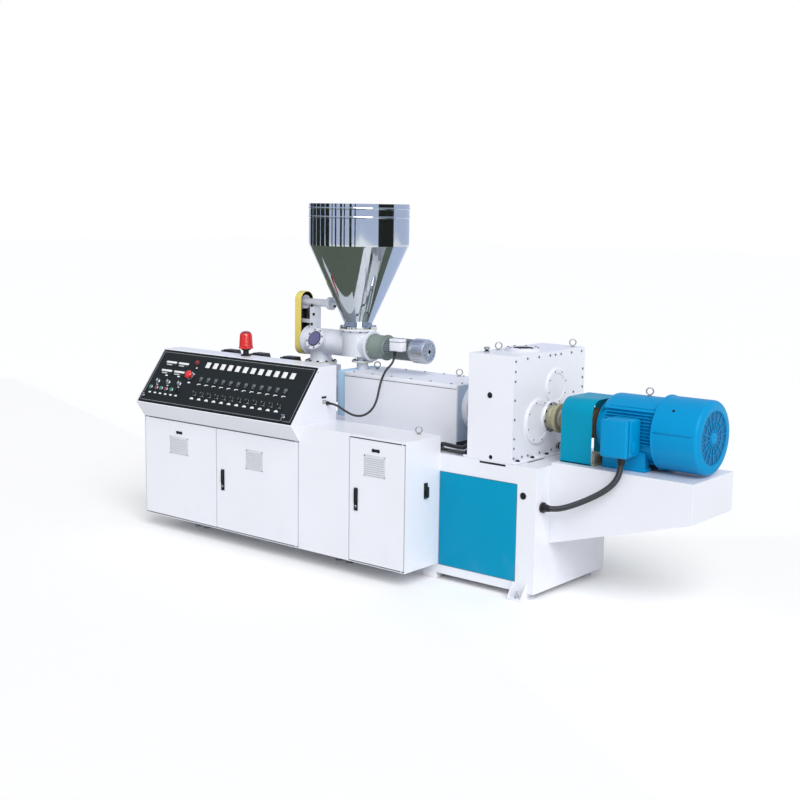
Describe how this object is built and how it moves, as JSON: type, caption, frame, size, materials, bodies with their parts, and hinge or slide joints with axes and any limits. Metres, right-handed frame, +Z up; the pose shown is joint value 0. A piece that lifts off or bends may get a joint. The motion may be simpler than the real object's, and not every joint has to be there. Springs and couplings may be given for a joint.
{
  "type": "plastic extruder",
  "caption": "Twin-screw plastic extruder with an operator's console, conical hopper on a powered feeder, gearboxes and a main motor on one machine base",
  "frame": {"origin": "on the floor, at the middle of the machine's length and width", "axes": "+X runs from the delivery end towards the main motor, -Y faces the operator, +Z is up"},
  "size_m": [3.855, 1.219, 2.216],
  "materials": {
    "console_white": "satin white powder coat",
    "panel_blue": "satin blue paint",
    "motor_blue": "glossy blue motor paint",
    "desk_charcoal": "matt charcoal instrument panel",
    "adapter_blue": "pale blue paint",
    "cast_grey": "painted grey casting",
    "reducer_grey": "grey-green reducer paint",
    "stainless": "mirror-polished stainless steel",
    "bright_steel": "machined steel",
    "heater_steel": "sheet-steel heater covers",
    "small_motor": "polished cast motor housing",
    "guard_yellow": "pale yellow guard paint",
    "belt_rubber": "black belt on bright pulleys",
    "iron_coupling": "bare cast iron",
    "beacon_red": "translucent red dome",
    "black_plastic": "black moulded plastic",
    "cable_black": "black cable sheath",
    "sight_glass": "tinted inspection glass"
  },
  "bodies": {
    "machine": {"console_body": "console_white", "bay_housing": "console_white", "cabinet_body": "console_white", "isolator_handle": "black_plastic", "levelling_feet": "bright_steel", "beacon_base": "cast_grey", "beacon_lens": "beacon_red", "cable_gland": "black_plastic", "drive_base": "console_white", "base_panels": "panel_blue", "base_feet": "console_white", "motor_bed": "console_white", "barrel_bed": "console_white", "gearbox_housing": "console_white", "gearbox_covers": "console_white", "gearbox_top_cover": "console_white", "distribution_gearbox": "console_white", "barrel_adapter": "adapter_blue", "coupling_flange": "console_white", "lifting_eyes": "bright_steel", "barrel": "bright_steel", "barrel_heaters": "heater_steel", "barrel_support": "console_white", "feed_throat": "bright_steel", "feeder_housing": "cast_grey", "sight_window": "sight_glass", "belt_guard": "guard_yellow", "belt_drive": "belt_rubber", "stirrer_drive": "bright_steel", "feeder_reducer": "reducer_grey", "feeder_motor": "small_motor", "feeder_terminal_box": "console_white", "hopper": "stainless", "motor_body": "motor_blue", "motor_fan_cowl": "motor_blue", "motor_terminal_box": "motor_blue", "shaft_coupling": "iron_coupling", "coupling_guard": "panel_blue", "conduit_flange": "black_plastic", "motor_conduit": "cable_black", "feeder_cable": "cable_black"},
    "left_door": {"console_door_left": "console_white"},
    "right_door": {"console_door_right": "console_white", "console_door_handle": "black_plastic"},
    "small_door": {"cabinet_door": "console_white", "cabinet_door_handle": "black_plastic"},
    "desk": {"control_panel": "desk_charcoal"}
  },
  "joints": [
    {"name": "left_door_hinge", "type": "hinge", "parent": "machine", "child": "left_door", "pos_m": [-1.89655, -0.5315, 0.43], "axis": [0, 0, -1], "range_deg": [0, 110]},
    {"name": "right_door_hinge", "type": "hinge", "parent": "machine", "child": "right_door", "pos_m": [-0.50395, -0.5315, 0.43], "axis": [0, 0, 1], "range_deg": [0, 110]},
    {"name": "small_door_hinge", "type": "hinge", "parent": "machine", "child": "small_door", "pos_m": [0.33905, -0.5315, 0.48], "axis": [0, 0, 1], "range_deg": [0, 110]},
    {"name": "desk_hinge", "type": "hinge", "parent": "machine", "child": "desk", "pos_m": [-1.20025, -0.37017, 1.18453], "axis": [-1, 0, 0], "range_deg": [0, 60]}
  ]
}
